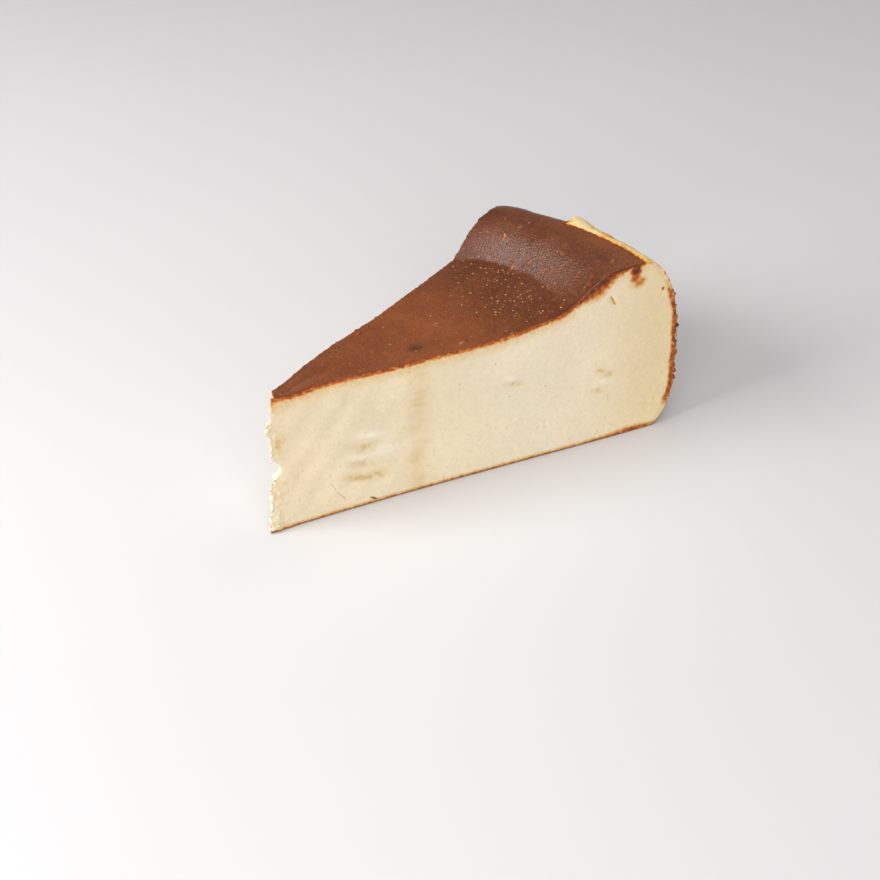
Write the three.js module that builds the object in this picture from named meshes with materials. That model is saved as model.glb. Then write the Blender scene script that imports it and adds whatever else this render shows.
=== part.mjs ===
// A slice of burnt Basque cheesecake: one solid wedge with a sunken middle, a raised rim whose
// shoulder rounds over into a pleated, crumbly side, two knife-cut faces and a broken tip.
//
// Millimetres, +Z up. The slice stands on z = 0 with the origin under the middle of its box.
// +X runs from the tip to the rim. The near cut faces -Y and the far cut faces +Y.
//
// The surface is the skin of a box of cells, bent to the slice. Each point of the box is (u, v, w):
// u runs from the tip to the rim, v from the near cut to the far cut and w from the base to the top.
// A section at one v is given by r, the distance from the cake's centre, and z, the height.

import * as THREE from 'three';
import { mergeVertices } from 'three/addons/utils/BufferGeometryUtils.js';

const { degToRad, lerp, smoothstep } = THREE.MathUtils;

// ---- Driving dimensions ----

const CAKE_RADIUS = 120; // half of a 24 cm cake
const WEDGE = degToRad(28.5); // a twelfth of the cake, less what the knife takes
const MIDDLE_HEIGHT = 40.9;
const RIM_HEIGHT = 53;
const BOX_MIDDLE = { x: 60.4, y: -0.6 }; // the middle of the slice's box, from the cake's centre

// The top rises to the crest of the rim in two moves: one long and gentle, one short and steep. The
// steep one starts farther in at the two cuts, and the lag says how close to them it still doesn't.
const CREST_RADIUS = { near: 107, far: 97 };
const GENTLE_RISE = { from: { near: 66, far: 80 }, share: { near: 0.4, far: 0.15 } };
const STEEP_RISE = {
  from: { near: 82.5, middle: 87, far: 80.5 },
  lag: { near: 10, far: 5 },
  endsBeforeCrest: { near: 8.5, far: 2.5 },
};
const CREASE = { share: 0.85, power: 2.2, lag: 4 }; // away from the near cut it starts at a crease
const CREST_FALL = 1.2; // the rim is lower towards the far cut,
const CREST_DRAG = 2.7; // the knife has dragged it down just there,
const CREST_DIP = { depth: 1.25, at: 0.72, spread: 0.2 }; // and it has sunk over the fold below
const TIP_SAG = { depth: 0.9, at: 10, spread: 6 };
const TOP_SWELL = { height: 0.35, length: 70 };
const TOP_WAVES = { height: 0.25, length: 24 };

const SHOULDER_START = 22; // height at which the side begins to round over to the crest
const SHOULDER_FULLNESS = { usual: 2, more: 0.4, at: 0.54, spread: 0.06 }; // 2 is an ellipse
const WALL_DRAFT = 0.6; // how far the side leans in between the foot and the shoulder
const FOOT = { width: 8, height: 14, fullness: 1.6 }; // the worn edge round the base
const CRUMBLY = [
  { height: 0.35, length: 11 },
  { height: 0.2, length: 6 },
];

// Pleats that the baking paper pressed into the side: place across the slice, depth, half width.
const PLEATS = [
  { at: 0.13, depth: 0.8, half: 0.04 },
  { at: 0.295, depth: 2.2, half: 0.05 },
  { at: 0.46, depth: 0.9, half: 0.04 },
  { at: 0.575, depth: 1.2, half: 0.04 },
  { at: 0.8, depth: 1.5, half: 0.06 },
];
const PLEAT_LEFT_AT_FOOT = 0.25; // share of a pleat's depth that is left at the base
const FOLD = { from: 0.545, to: 0.575, setback: 4.2 }; // past this the paper stood further in,
const FOLD_LIP = { slump: 3, spread: 0.06, inner: 103.5, outer: 109.5, low: 36, high: 46 }; // overhung

// The broken edge of the tip: its place at the base and near cut, then what is added to it.
const TIP = { setback: 1.3, leanPerMm: 0.085, farther: 2.4, waves: { height: 0.3, length: 5 } };
const TIP_BREAKS = [
  { depth: 3, at: 18.4, spread: 3.2 },
  { depth: -1.6, at: 31, spread: 2.4 },
  { depth: 0.8, at: 7.5, spread: 2 },
];

// The soft foot of a cut face stands out: everywhere, and more at the tip and at the rim.
const FLARE = {
  height: 20,
  everywhere: 1.1,
  tip: { more: 0.8, reach: 8 },
  rim: { more: 1.2, from: 35, to: 112 },
  farShare: 0.4,
};
const KNIFE_DRAG = { height: 0.35, length: 26, edge: 8 };
const KNIFE_TEAR = { height: 0.35, length: 9, at: 16, spread: 24 };

const CELLS = { u: 44, v: 17, w: 18 };
const RIM_CROWDING = 1.35; // above 1, the cells are shorter towards the rim
const FOLD_CROWDING = { pull: 0.5, spread: 0.15 }; // and they are narrower at the fold

const COLOURS = { skin: 0x6b3a20, cream: 0xe9d9b4, crust: 0xa05a20, base: 0xb07a45 };

// ---- Small shape functions ----

const bell = (x, { at, spread }) => Math.exp(-(((x - at) / spread) ** 2));
const across = ({ near, far }, v) => lerp(near, far, v);

// Quarter of a rounded square: 1 at 0 and 0 at 1. Fullness 1 is a bevel, 2 a circle.
const corner = (x, fullness) => (1 - Math.min(1, Math.max(0, x)) ** fullness) ** (1 / fullness);

// Uneven relief that repeats nowhere on the slice: three waves that cross.
function ripple(a, b, { height, length }) {
  const k = (2 * Math.PI) / length;
  const waves =
    Math.sin(k * (a + 0.31 * b) + 1.3) +
    Math.sin(k * (0.73 * b - 0.52 * a) * 1.37 + 4.1) +
    Math.sin(k * (0.44 * a + 0.91 * b) * 0.71 + 2.2);
  return (height * waves) / 3;
}

const SIDE_LENGTH = CAKE_RADIUS * WEDGE;

// ---- The top, the rim and its shoulder ----

const crestRadius = (v) => across(CREST_RADIUS, v);

function crestHeight(v) {
  return RIM_HEIGHT - CREST_FALL * v - CREST_DRAG * v ** 6 - CREST_DIP.depth * bell(v, CREST_DIP);
}

// How far the top has risen from the middle's height, 0, to the crest's, 1.
function rise(r, v) {
  const gentle = smoothstep(r, across(GENTLE_RISE.from, v), crestRadius(v));
  const { from, lag, endsBeforeCrest } = STEEP_RISE;
  const steepEnd = crestRadius(v) - across(endsBeforeCrest, v);
  const steepStart = lerp(lerp(from.middle, from.near, (1 - v) ** lag.near), from.far, v ** lag.far);
  const left = Math.min(1, Math.max(0, (steepEnd - r) / (steepEnd - steepStart)));
  const creased = CREASE.share * (1 - (1 - v) ** CREASE.lag);
  const steep = lerp(smoothstep(r, steepStart, steepEnd), 1 - left ** CREASE.power, creased);
  return lerp(steep, gentle, across(GENTLE_RISE.share, v));
}

// The shoulder is fuller just before the fold.
function fullness(v) {
  const { usual, more } = SHOULDER_FULLNESS;
  return usual + more * bell(v, SHOULDER_FULLNESS) * (1 - smoothstep(v, FOLD.from, FOLD.to));
}

function topHeight(r, v) {
  if (r > crestRadius(v)) {
    const out = (r - crestRadius(v)) / (shoulderRadius(v) - crestRadius(v));
    return lerp(SHOULDER_START, crestHeight(v), corner(out, fullness(v)));
  }
  const swell = TOP_SWELL.height * Math.sin((2 * Math.PI * r) / TOP_SWELL.length);
  const sag = TIP_SAG.depth * bell(r, TIP_SAG);
  const middle = MIDDLE_HEIGHT + swell - sag + ripple(r, SIDE_LENGTH * v, TOP_WAVES);
  return lerp(middle, crestHeight(v), rise(r, v));
}

// ---- The side and the foot ----

function pleatDepth(v) {
  const folded = FOLD.setback * smoothstep(v, FOLD.from, FOLD.to);
  const pleated = PLEATS.map((p) => p.depth * Math.exp(-Math.abs(v - p.at) / p.half));
  return pleated.reduce((sum, depth) => sum + depth, folded);
}

const shoulderRadius = (v) => CAKE_RADIUS - WALL_DRAFT - pleatDepth(v);

// Radius of the side at height z: worn foot, nearly upright wall, then the shoulder.
function sideRadius(z, v) {
  const s = SIDE_LENGTH * v;
  const crumbs = ripple(z, s, CRUMBLY[0]) + ripple(s, z, CRUMBLY[1]);
  if (z > SHOULDER_START) {
    const up = (z - SHOULDER_START) / (crestHeight(v) - SHOULDER_START);
    return lerp(crestRadius(v), shoulderRadius(v), corner(up, fullness(v))) + crumbs * (1 - up);
  }
  const pleat = pleatDepth(v) * lerp(PLEAT_LEFT_AT_FOOT, 1, smoothstep(z, 0, SHOULDER_START));
  const draft = WALL_DRAFT * smoothstep(z, FOOT.height, SHOULDER_START);
  const worn = FOOT.width * (1 - corner(1 - z / FOOT.height, FOOT.fullness));
  return CAKE_RADIUS - draft - worn - pleat + crumbs * smoothstep(z, 0, FOOT.height);
}

// Height of the underside: flat, and rising at its worn outer edge.
function baseHeight(r, v) {
  const flat = CAKE_RADIUS - FOOT.width - PLEAT_LEFT_AT_FOOT * pleatDepth(v);
  return FOOT.height * (1 - corner((r - flat) / FOOT.width, FOOT.fullness));
}

// ---- The tip ----

function tipRadius(z, v) {
  const broken = TIP_BREAKS.reduce((sum, b) => sum + b.depth * bell(z, b), 0);
  const straight = TIP.setback + TIP.leanPerMm * z + TIP.farther * v;
  return straight + broken + ripple(z, 9 * v, TIP.waves);
}

// ---- The section of the slice at v: four edges that meet at its corners ----

function sectionOf(v) {
  const footTop = 0.4 * FOOT.height;
  const shoulderTop = lerp(SHOULDER_START, crestHeight(v), 0.7);
  const footRadius = sideRadius(footTop, v);
  const shoulderEnd = sideRadius(shoulderTop, v);
  const tipTop = topHeight(tipRadius(MIDDLE_HEIGHT, v), v);

  return {
    base(u) {
      const r = lerp(tipRadius(0, v), footRadius, u);
      return { r, z: u === 1 ? footTop : baseHeight(r, v) };
    },
    top(u) {
      const r = lerp(tipRadius(tipTop, v), shoulderEnd, u);
      return { r, z: u === 1 ? shoulderTop : topHeight(r, v) };
    },
    tip(w) {
      const z = tipTop * w;
      return { r: tipRadius(z, v), z };
    },
    side(w) {
      const z = lerp(footTop, shoulderTop, w);
      return { r: sideRadius(z, v), z };
    },
  };
}

// A point inside the section, blended from its four edges.
function inSection({ base, top, tip, side }, u, w) {
  const blend = (key) => {
    const edges = lerp(base(u)[key], top(u)[key], w) + lerp(tip(w)[key], side(w)[key], u);
    return edges - lerp(lerp(base(0)[key], base(1)[key], u), lerp(top(0)[key], top(1)[key], u), w);
  };
  return { r: blend('r'), z: blend('z') };
}

// ---- The cut faces and the lip over the fold: what moves a point across the slice ----

function flare(r, z) {
  const atTip = FLARE.tip.more * Math.exp(-r / FLARE.tip.reach);
  const atRim = FLARE.rim.more * smoothstep(r, FLARE.rim.from, FLARE.rim.to);
  return (FLARE.everywhere + atTip + atRim) * Math.max(0, 1 - z / FLARE.height) ** 2;
}

// Where the knife dragged and tore the soft middle; nothing at the face's top and bottom edges.
function knifeMarks(r, z) {
  const { edge } = KNIFE_DRAG;
  const inside = smoothstep(z, 0, edge) * smoothstep(MIDDLE_HEIGHT - z, 0, edge);
  return inside * (ripple(r, 0.5 * z, KNIFE_DRAG) + ripple(z, r, KNIFE_TEAR) * bell(r, KNIFE_TEAR));
}

function slump(r, z, v) {
  const { slump: most, spread, inner, outer, low, high } = FOLD_LIP;
  return most * bell(v, { at: FOLD.from, spread }) * smoothstep(r, inner, outer) * smoothstep(z, low, high);
}

function sideways(r, z, v) {
  const flared = flare(r, z) * lerp(-1, FLARE.farShare, v);
  return flared + slump(r, z, v) + (2 * v - 1) ** 3 * knifeMarks(r, z);
}

// ---- The whole slice ----

function place(u, v, w) {
  const { r, z } = inSection(sectionOf(v), u, w);
  const angle = (v - 0.5) * WEDGE;
  const shift = sideways(r, z, v);
  const x = r * Math.cos(angle) - shift * Math.sin(angle);
  const y = r * Math.sin(angle) + shift * Math.cos(angle);
  return [x - BOX_MIDDLE.x, y - BOX_MIDDLE.y, z];
}

const towardsRim = (u) => 1 - (1 - u) ** RIM_CROWDING;

function towardsFold(v) {
  const at = (FOLD.from + FOLD.to) / 2;
  const { pull, spread } = FOLD_CROWDING;
  return lerp(v, at, 4 * v * (1 - v) * pull * bell(v, { at, spread }));
}

function sliceGeometry() {
  const box = new THREE.BoxGeometry(1, 1, 1, CELLS.u, CELLS.v, CELLS.w);
  box.deleteAttribute('normal');
  box.deleteAttribute('uv');
  const skin = mergeVertices(box);
  const position = skin.getAttribute('position');
  for (let i = 0; i < position.count; i++) {
    const [u, v, w] = position.array.slice(3 * i, 3 * i + 3).map((x) => x + 0.5);
    position.setXYZ(i, ...place(towardsRim(u), towardsFold(v), w));
  }
  skin.computeVertexNormals();
  return skin;
}

// ---- Its materials, in the order of the box's faces: rim, tip, far cut, near cut, top, base ----

const plain = (color, roughness) => new THREE.MeshStandardMaterial({ color, roughness, metalness: 0 });
const crust = plain(COLOURS.crust, 0.85);
const cream = plain(COLOURS.cream, 0.55);
const burntSkin = plain(COLOURS.skin, 0.4);
const base = plain(COLOURS.base, 0.8);

const slice = new THREE.Mesh(sliceGeometry(), [crust, cream, cream, cream, burntSkin, base]);
slice.name = 'cheesecake_slice';

const cheesecake = new THREE.Group();
cheesecake.add(slice);

export default cheesecake;
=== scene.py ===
# A slice of burnt Basque cheesecake, dressed for the studio: the CAD solid's form, rebuilt with fine
# cells so that its skin, crumb and crust have real relief, then coloured as a baked cake is.
#
# Sizes are in millimetres until a mesh is made, and the row frame is Blender's. A point of the slice
# is named as in the part's source: u from the tip to the rim, v from the near cut to the far cut, and
# w from the base to the top, or r from the cake's centre, s along the side and z up.

import math

import bpy
import numpy as np
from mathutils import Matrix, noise


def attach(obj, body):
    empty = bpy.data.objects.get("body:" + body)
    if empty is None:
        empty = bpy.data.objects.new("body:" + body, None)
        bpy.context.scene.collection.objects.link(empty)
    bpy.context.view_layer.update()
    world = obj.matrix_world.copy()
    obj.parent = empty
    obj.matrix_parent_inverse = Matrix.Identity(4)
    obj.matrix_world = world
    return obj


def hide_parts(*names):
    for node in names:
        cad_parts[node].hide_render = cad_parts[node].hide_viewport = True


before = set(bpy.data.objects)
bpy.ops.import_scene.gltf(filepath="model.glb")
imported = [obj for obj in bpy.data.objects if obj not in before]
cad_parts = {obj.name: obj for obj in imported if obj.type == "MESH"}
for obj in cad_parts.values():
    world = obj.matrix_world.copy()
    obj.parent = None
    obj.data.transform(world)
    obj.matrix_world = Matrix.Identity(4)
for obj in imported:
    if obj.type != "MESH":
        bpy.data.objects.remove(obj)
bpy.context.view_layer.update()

MM = 0.001

# ---- The slice's driving sizes, as in the part's source ----

CAKE_RADIUS = 120
WEDGE = math.radians(28.5)
MIDDLE_HEIGHT = 40.9
RIM_HEIGHT = 53
BOX_MIDDLE = (60.4, -0.6)
SIDE_LENGTH = CAKE_RADIUS * WEDGE

CREST_RADIUS = (107, 97)  # at the near and the far cut
GENTLE_FROM = (66, 80)
GENTLE_SHARE = (0.4, 0.15)
STEEP_FROM = {"near": 82.5, "middle": 87, "far": 80.5}
STEEP_LAG = {"near": 10, "far": 5}  # how close to a cut the slope still starts as in the middle
STEEP_ENDS_BEFORE_CREST = (8.5, 2.5)
CREASE = {"share": 0.85, "power": 2.2, "lag": 4}  # away from the near cut the slope starts at a crease
CREST_FALL = 1.2
CREST_DRAG = 2.7
CREST_DIP = {"depth": 1.25, "at": 0.72, "spread": 0.2}
TIP_SAG = {"depth": 0.9, "at": 10, "spread": 6}
TOP_SWELL = {"height": 0.35, "length": 70}
TOP_WAVES = {"height": 0.25, "length": 24}

SHOULDER_START = 22
SHOULDER_FULLNESS = {"usual": 2, "more": 0.4, "at": 0.54, "spread": 0.06}
WALL_DRAFT = 0.6
FOOT = {"width": 8, "height": 14, "fullness": 1.6}
CRUMBLY = ({"height": 0.35, "length": 11}, {"height": 0.2, "length": 6})

# Pleats that the baking paper pressed into the side: place across the slice, depth, half width.
PLEATS = ((0.13, 0.8, 0.04), (0.295, 2.2, 0.05), (0.46, 0.9, 0.04), (0.575, 1.2, 0.04), (0.8, 1.5, 0.06))
PLEAT_LEFT_AT_FOOT = 0.25
FOLD = {"from": 0.545, "to": 0.575, "setback": 4.2}
FOLD_LIP = {"slump": 3, "spread": 0.06, "inner": 103.5, "outer": 109.5, "low": 36, "high": 46}

TIP = {"setback": 1.3, "lean": 0.085, "farther": 2.4}
TIP_WAVES = {"height": 0.3, "length": 5}
TIP_WAVES_ACROSS = 9  # the break is as uneven from cut to cut as over that height
TIP_BREAKS = (
    {"depth": 3, "at": 18.4, "spread": 3.2},
    {"depth": -1.6, "at": 31, "spread": 2.4},
    {"depth": 0.8, "at": 7.5, "spread": 2},
)
FLARE = {"height": 20, "everywhere": 1.1, "far_share": 0.4}
FLARE_AT_TIP = {"more": 0.8, "reach": 8}
FLARE_AT_RIM = {"more": 1.2, "from": 35, "to": 112}
KNIFE_DRAG = {"height": 0.35, "length": 26, "edge": 8, "upwards": 0.5}
KNIFE_TEAR = {"height": 0.35, "length": 9, "at": 16, "spread": 24}

# Where a section has its two outer corners: share of the foot's height, and of the shoulder's.
SECTION_CORNERS = {"foot": 0.4, "shoulder": 0.7}


# ---- Small shape functions ----


def lerp(a, b, t):
    return a + (b - a) * t


def smoothstep(x, low, high):
    t = np.clip((x - low) / (high - low), 0, 1)
    return t * t * (3 - 2 * t)


def bell(x, at, spread):
    return np.exp(-(((x - at) / spread) ** 2))


def corner(x, fullness):
    """Quarter of a rounded square: 1 at 0 and 0 at 1. Fullness 1 is a bevel, 2 a circle."""
    return (1 - np.clip(x, 0, 1) ** fullness) ** (1 / fullness)


def ripple(a, b, height, length):
    """Uneven relief that repeats nowhere on the slice: three waves that cross."""
    k = 2 * math.pi / length
    waves = (
        np.sin(k * (a + 0.31 * b) + 1.3)
        + np.sin(k * (0.73 * b - 0.52 * a) * 1.37 + 4.1)
        + np.sin(k * (0.44 * a + 0.91 * b) * 0.71 + 2.2)
    )
    return height * waves / 3


# ---- The form of the slice, as in the part's source ----


def crest_radius(v):
    return lerp(*CREST_RADIUS, v)


def crest_height(v):
    dip = CREST_DIP["depth"] * bell(v, CREST_DIP["at"], CREST_DIP["spread"])
    return RIM_HEIGHT - CREST_FALL * v - CREST_DRAG * v**6 - dip


def rise(r, v):
    gentle = smoothstep(r, lerp(*GENTLE_FROM, v), crest_radius(v))
    steep_end = crest_radius(v) - lerp(*STEEP_ENDS_BEFORE_CREST, v)
    steep_start = lerp(STEEP_FROM["middle"], STEEP_FROM["near"], (1 - v) ** STEEP_LAG["near"])
    steep_start = lerp(steep_start, STEEP_FROM["far"], v ** STEEP_LAG["far"])
    steep = smoothstep(r, steep_start, steep_end)
    left = np.clip((steep_end - r) / (steep_end - steep_start), 0, 1)
    creased = CREASE["share"] * (1 - (1 - v) ** CREASE["lag"])
    steep = lerp(steep, 1 - left ** CREASE["power"], creased)
    return lerp(steep, gentle, lerp(*GENTLE_SHARE, v))


def fullness(v):
    more = SHOULDER_FULLNESS["more"] * bell(v, SHOULDER_FULLNESS["at"], SHOULDER_FULLNESS["spread"])
    return SHOULDER_FULLNESS["usual"] + more * (1 - smoothstep(v, FOLD["from"], FOLD["to"]))


def pleat_depth(v):
    folded = FOLD["setback"] * smoothstep(v, FOLD["from"], FOLD["to"])
    return folded + sum(depth * np.exp(-np.abs(v - at) / half) for at, depth, half in PLEATS)


def shoulder_radius(v):
    return CAKE_RADIUS - WALL_DRAFT - pleat_depth(v)


def top_height(r, v):
    out = (r - crest_radius(v)) / (shoulder_radius(v) - crest_radius(v))
    shoulder = lerp(SHOULDER_START, crest_height(v), corner(out, fullness(v)))
    swell = TOP_SWELL["height"] * np.sin(2 * math.pi * r / TOP_SWELL["length"])
    sag = TIP_SAG["depth"] * bell(r, TIP_SAG["at"], TIP_SAG["spread"])
    middle = MIDDLE_HEIGHT + swell - sag + ripple(r, SIDE_LENGTH * v, **TOP_WAVES)
    return np.where(r > crest_radius(v), shoulder, lerp(middle, crest_height(v), rise(r, v)))


def side_radius(z, v):
    s = SIDE_LENGTH * v
    crumbs = ripple(z, s, **CRUMBLY[0]) + ripple(s, z, **CRUMBLY[1])
    up = (z - SHOULDER_START) / (crest_height(v) - SHOULDER_START)
    over = lerp(crest_radius(v), shoulder_radius(v), corner(up, fullness(v))) + crumbs * (1 - up)
    pleat = pleat_depth(v) * lerp(PLEAT_LEFT_AT_FOOT, 1, smoothstep(z, 0, SHOULDER_START))
    draft = WALL_DRAFT * smoothstep(z, FOOT["height"], SHOULDER_START)
    worn = FOOT["width"] * (1 - corner(1 - z / FOOT["height"], FOOT["fullness"]))
    upright = CAKE_RADIUS - draft - worn - pleat + crumbs * smoothstep(z, 0, FOOT["height"])
    return np.where(z > SHOULDER_START, over, upright)


def base_height(r, v):
    flat = CAKE_RADIUS - FOOT["width"] - PLEAT_LEFT_AT_FOOT * pleat_depth(v)
    return FOOT["height"] * (1 - corner((r - flat) / FOOT["width"], FOOT["fullness"]))


def tip_radius(z, v):
    broken = sum(b["depth"] * bell(z, b["at"], b["spread"]) for b in TIP_BREAKS)
    straight = TIP["setback"] + TIP["lean"] * z + TIP["farther"] * v
    return straight + broken + ripple(z, TIP_WAVES_ACROSS * v, **TIP_WAVES)


def in_section(u, v, w):
    """The r and z of a point of the slice, blended from the four edges of the section at v."""
    foot_top = SECTION_CORNERS["foot"] * FOOT["height"] + 0 * v
    shoulder_top = lerp(SHOULDER_START, crest_height(v), SECTION_CORNERS["shoulder"])
    foot_radius = side_radius(foot_top, v)
    shoulder_end = side_radius(shoulder_top, v)
    tip_top = top_height(tip_radius(MIDDLE_HEIGHT, v), v)

    def base(u):
        r = lerp(tip_radius(0, v), foot_radius, u)
        return np.stack([r, np.where(u >= 1, foot_top, base_height(r, v))])

    def top(u):
        r = lerp(tip_radius(tip_top, v), shoulder_end, u)
        return np.stack([r, np.where(u >= 1, shoulder_top, top_height(r, v))])

    def tip(w):
        return np.stack([tip_radius(tip_top * w, v), tip_top * w])

    def side(w):
        z = lerp(foot_top, shoulder_top, w)
        return np.stack([side_radius(z, v), z])

    edges = lerp(base(u), top(u), w) + lerp(tip(w), side(w), u)
    none, full = 0 * u, 0 * u + 1
    corners = lerp(lerp(base(none), base(full), u), lerp(top(none), top(full), u), w)
    return edges - corners


def flare(r, z):
    at_tip = FLARE_AT_TIP["more"] * np.exp(-r / FLARE_AT_TIP["reach"])
    at_rim = FLARE_AT_RIM["more"] * smoothstep(r, FLARE_AT_RIM["from"], FLARE_AT_RIM["to"])
    return (FLARE["everywhere"] + at_tip + at_rim) * np.maximum(0, 1 - z / FLARE["height"]) ** 2


def knife_marks(r, z):
    edge = KNIFE_DRAG["edge"]
    inside = smoothstep(z, 0, edge) * smoothstep(MIDDLE_HEIGHT - z, 0, edge)
    drag = ripple(r, KNIFE_DRAG["upwards"] * z, KNIFE_DRAG["height"], KNIFE_DRAG["length"])
    tear = ripple(z, r, KNIFE_TEAR["height"], KNIFE_TEAR["length"])
    return inside * (drag + tear * bell(r, KNIFE_TEAR["at"], KNIFE_TEAR["spread"]))


def slump(r, z, v):
    most = FOLD_LIP["slump"] * bell(v, FOLD["from"], FOLD_LIP["spread"])
    outwards = smoothstep(r, FOLD_LIP["inner"], FOLD_LIP["outer"])
    return most * outwards * smoothstep(z, FOLD_LIP["low"], FOLD_LIP["high"])


def in_frame(r, z, v):
    """Places in the row frame of points given by r, z and v."""
    angle = (v - 0.5) * WEDGE
    shift = flare(r, z) * lerp(-1, FLARE["far_share"], v)
    shift = shift + slump(r, z, v) + (2 * v - 1) ** 3 * knife_marks(r, z)
    x = r * np.cos(angle) - shift * np.sin(angle) - BOX_MIDDLE[0]
    y = r * np.sin(angle) + shift * np.cos(angle) - BOX_MIDDLE[1]
    return np.stack([x, y, z], axis=1)


# ---- The fine skin of cells that the form is drawn on ----

CELLS = (260, 104, 90)  # along u, v and w: about half a millimetre each
RIM_CROWDING = 1.12  # above 1, the cells are shorter towards the rim
CUT_CROWDING = 0.3  # and they are narrower towards the two cuts
FOLD_CROWDING = {"pull": 0.35, "spread": 0.15}  # and at the fold
SIDE, TIP_END, FAR, NEAR, TOP, BASE = range(6)
MATERIAL_OF_SIDE = (1, 0, 0, 0, 1, 2)  # in that order: 0 cut curd, 1 burnt skin, 2 browned base


def crowded(grid):
    """The places u, v and w of the cells' corners, from their numbers."""
    u, v, w = (grid / np.array(CELLS)).T
    u = 1 - (1 - u) ** RIM_CROWDING
    v = v - CUT_CROWDING * np.sin(2 * math.pi * v) / (2 * math.pi)
    fold = (FOLD["from"] + FOLD["to"]) / 2
    v = lerp(v, fold, 4 * v * (1 - v) * FOLD_CROWDING["pull"] * bell(v, fold, FOLD_CROWDING["spread"]))
    return u, v, w


def box_skin():
    """Corners, faces and sides of the skin of a box of cells. The base has cells of twice the size."""
    nu, nv, nw = CELLS
    number = np.full((nu + 1, nv + 1, nw + 1), -1)
    outer = np.zeros(number.shape, dtype=bool)
    outer[[0, -1]] = outer[:, [0, -1]] = outer[:, :, -1] = True
    outer[::2, ::2, 0] = True
    corners = np.argwhere(outer)
    number[outer] = np.arange(len(corners))

    sheets = (
        (SIDE, number[-1], False),
        (TIP_END, number[0], True),
        (FAR, number[:, -1], True),
        (NEAR, number[:, 0], False),
        (TOP, number[:, :, -1], False),
    )
    faces, sides = [], []
    for side, sheet, flipped in sheets:
        quads = np.stack([sheet[:-1, :-1], sheet[1:, :-1], sheet[1:, 1:], sheet[:-1, 1:]], axis=-1)
        quads = quads.reshape(-1, 4)
        faces += (quads[:, ::-1] if flipped else quads).tolist()
        sides += [side] * len(quads)

    around = ((0, 0), (0, 1), (0, 2), (1, 2), (2, 2), (2, 1), (2, 0), (1, 0))
    below = number[:, :, 0]
    for i in range(0, nu, 2):
        for j in range(0, nv, 2):
            ring = [below[i + di, j + dj] for di, dj in around]
            faces.append([int(k) for k in ring if k >= 0])
            sides.append(BASE)
    return corners, faces, np.array(sides)


def corner_normals(places, faces):
    """The direction that each corner faces, from the faces round it."""
    total = np.zeros_like(places)
    triangles = np.array([[f[0], a, b] for f in faces for a, b in zip(f[1:-1], f[2:])])
    a, b, c = (places[triangles[:, k]] for k in range(3))
    across = np.cross(b - a, c - a)
    for k in range(3):
        np.add.at(total, triangles[:, k], across)
    return total / np.linalg.norm(total, axis=1, keepdims=True)


def grain(points, size, octaves=3):
    """Uneven values about 0 whose lumps are size millimetres long, one size or one for each axis."""
    return np.array([noise.fractal(p, 1.0, 2.0, octaves) for p in (points / size).tolist()])


# ---- Where browning and marks are ----

# Doneness is how far baking has browned a place: 0 and less is pale crumb, and 1 is burnt.
SKIN_ENDS_BEFORE_CREST = 0.5
SKIN_PAST_FOLD = {"more": 9, "from": 0.54, "to": 0.585}  # past the fold it goes on over the shoulder
SKIN_DONE = {"most": 1.2, "border": 1.2}  # its browning ends over that many millimetres
SKIN_EDGE_DONE = 0.1  # how much more browned its edge is than a cut face can be
BURN = {"depth": 1.6, "more": 5, "at": 94.8, "spread": 4.5}  # how deep it goes under the skin
BURN_AT_TIP = {"more": 1.6, "reach": 3}
GLOW = {"level": 0.25, "depth": 3.6, "more": 4, "reach": 6, "richer": 0.9}  # the golden fade under that
SHOULDER_GLOW = {"level": 0.44, "reach": 3, "ends": 0.35}  # golden shoulder beside the near cut
CHAR = {"usual": 0.54, "more": 0.36, "at": 99, "spread": 9}  # the most browned that a cut face shows
CRUST = {"low": 3.5, "full": 7, "fading": 38, "high": 46}  # heights of the toasted side
CRUST_BORDER = {"swing": 2.2, "size": 7.0, "shift": 70}  # how far its borders wander
CRUST_THICK = 1.2
CRUST_DONE = (0.7, 0.5)  # at its foot and at its top
PALE_DONE = 0.1
CRUST_FADE = (0.07, 0.6)  # how fast browning ends farther in: where the side is pale, and toasted
BASE_DONE = 0.55
BASE_LINE = {"done": 0.5, "height": 1.2, "fading": 0.5}  # browned line of a cut face along the base
BASE_LINE_AT_FOOT = {"richer": 0.5, "more": 0.2, "at": 106, "spread": 7}

# Browned blots of the near cut face, where the skin tore: middle (r, z), half sizes, doneness.
BLOTS = (
    ((104.6, 51.2), (1.8, 2.4), 1.1),
    ((105.6, 53.2), (1.4, 1.0), 1.2),
    ((104.4, 48.8), (1.9, 1.5), 0.6),
    ((105.8, 47.2), (3.0, 2.4), 0.42),
    ((102.4, 52.2), (1.4, 0.8), 0.4),
    ((109.2, 52.5), (2.8, 1.0), 0.44),
    ((111.6, 51.0), (1.8, 1.1), 0.4),
    ((113.6, 48.4), (0.9, 1.5), 0.5),
    ((115.0, 45.8), (0.7, 1.5), 0.5),
    ((113.2, 43.2), (0.5, 0.7), 0.9),
)
BLOT_BORDER = 0.25  # outside them, doneness falls this far below 0

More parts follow.
